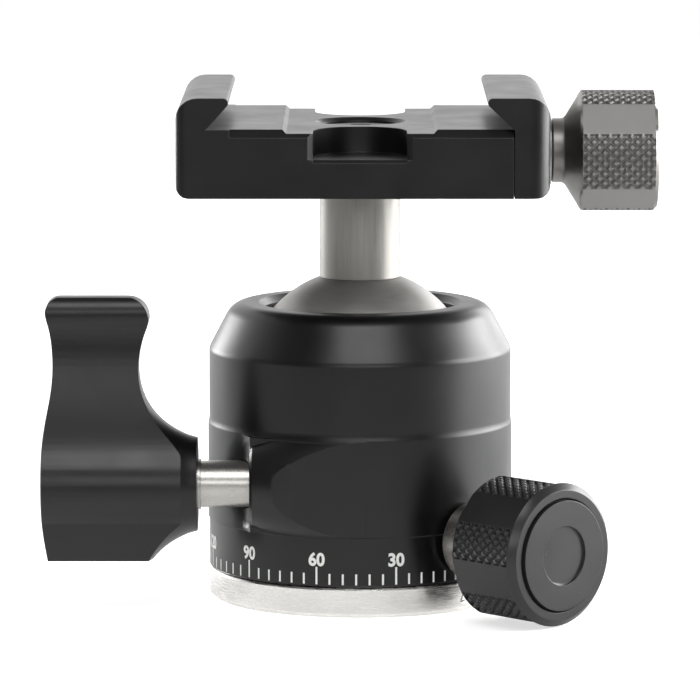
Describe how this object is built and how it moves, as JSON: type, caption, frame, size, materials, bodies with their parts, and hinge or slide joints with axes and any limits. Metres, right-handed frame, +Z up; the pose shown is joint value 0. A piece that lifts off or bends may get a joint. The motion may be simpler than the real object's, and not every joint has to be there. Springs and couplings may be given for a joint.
{
  "type": "tripod ball head",
  "caption": "Tripod ball head with a dovetail quick-release clamp, a lever ball lock, a pan lock knob, a drop notch and a panning base with a degree scale.",
  "frame": {"origin": "centre of the base's underside, on the axis of the tripod thread", "axes": "+Z up along the pan axis; the ball lock's shaft points along -X and the clamp knob along +X; the drop notch opens towards +Y, and -Y is the side with the pan lock and the scale's zero"},
  "size_m": [0.0792, 0.0521, 0.0663],
  "materials": {
    "turned_silver": "turned aluminium with fine concentric tool marks",
    "steel": "plain steel",
    "bright_steel": "bright turned steel",
    "black_steel": "black oxide steel",
    "polymer": "low-friction polymer",
    "black_anodised": "bead-blasted black anodised aluminium, satin",
    "black_knurled": "black anodised aluminium with a knurled rim",
    "titanium_knurled": "titanium-grey anodised aluminium with a diamond knurl",
    "grey_ball": "hard-anodised grey aluminium, finely turned",
    "brass": "plain brass"
  },
  "bodies": {
    "base": {"base_plate": "turned_silver", "base_screws": "steel", "pan_hub": "turned_silver"},
    "housing": {"housing": "black_anodised", "retaining_ring": "steel", "ring_grub_screw": "steel", "floor_plate": "turned_silver", "top_liner": "polymer", "shaft_bush": "brass", "pan_bush": "brass", "pan_friction_ring": "polymer"},
    "lock_lever": {"lock_shaft": "bright_steel", "lock_lever": "black_anodised", "lever_set_screw": "steel"},
    "lock_wedge": {"lock_wedge": "brass"},
    "pan_knob": {"pan_screw": "bright_steel", "pan_knob": "black_knurled", "pan_knob_cap": "black_anodised"},
    "pan_brake_plug": {"pan_brake_plug": "brass"},
    "lower_cup": {"lower_cup": "polymer"},
    "ball": {"ball": "grey_ball"},
    "clamp": {"stem": "bright_steel", "clamp_bolt": "black_steel", "anti_twist_pins": "steel", "clamp_body": "black_anodised", "clamp_stud": "steel", "jaw_springs": "steel"},
    "moving_jaw": {"moving_jaw": "black_anodised", "guide_pins": "steel", "knob_washer": "steel"},
    "clamp_knob": {"clamp_knob": "titanium_knurled"}
  },
  "joints": [
    {"name": "pan", "type": "hinge", "parent": "base", "child": "housing", "pos_m": [0, 0, 0.005], "axis": [0, 0, 1], "continuous": true},
    {"name": "lock_lever_turn", "type": "hinge", "parent": "housing", "child": "lock_lever", "pos_m": [-0.02, -0.013, 0.0163], "axis": [1, 0, 0], "range_deg": [-100, 0]},
    {"name": "lock_wedge_slide", "type": "slide", "parent": "housing", "child": "lock_wedge", "axis": [1, 0, 0], "range_m": [-0.0003, 0]},
    {"name": "pan_knob_turn", "type": "hinge", "parent": "housing", "child": "pan_knob", "pos_m": [0.01379, -0.01448, 0.0093], "axis": [0.6896, -0.7242, 0], "range_deg": [0, 90]},
    {"name": "pan_brake_slide", "type": "slide", "parent": "housing", "child": "pan_brake_plug", "axis": [0.6896, -0.7242, 0], "range_m": [0, 0.00021]},
    {"name": "ball_azimuth", "type": "hinge", "parent": "housing", "child": "lower_cup", "pos_m": [0, 0, 0.0275], "axis": [0, 0, 1], "range_deg": [0, 180]},
    {"name": "ball_tilt", "type": "hinge", "parent": "lower_cup", "child": "ball", "pos_m": [0, 0, 0.0275], "axis": [1, 0, 0], "range_deg": [-90, 31]},
    {"name": "stem_spin", "type": "hinge", "parent": "ball", "child": "clamp", "pos_m": [0, 0, 0.045], "axis": [0, 0, 1], "continuous": true},
    {"name": "jaw_slide", "type": "slide", "parent": "clamp", "child": "moving_jaw", "axis": [1, 0, 0], "range_m": [0, 0.0037]},
    {"name": "clamp_knob_turn", "type": "hinge", "parent": "moving_jaw", "child": "clamp_knob", "pos_m": [0.03, 0, 0.058], "axis": [1, 0, 0], "range_deg": [0, 1620]}
  ],
  "couplings": [
    {"joint": "lock_wedge_slide", "follows": "lock_lever_turn", "m_per_rad": 0.00015915},
    {"joint": "pan_brake_slide", "follows": "pan_knob_turn", "m_per_rad": 0.00012732},
    {"joint": "jaw_slide", "follows": "clamp_knob_turn", "m_per_rad": 0.00012732}
  ]
}
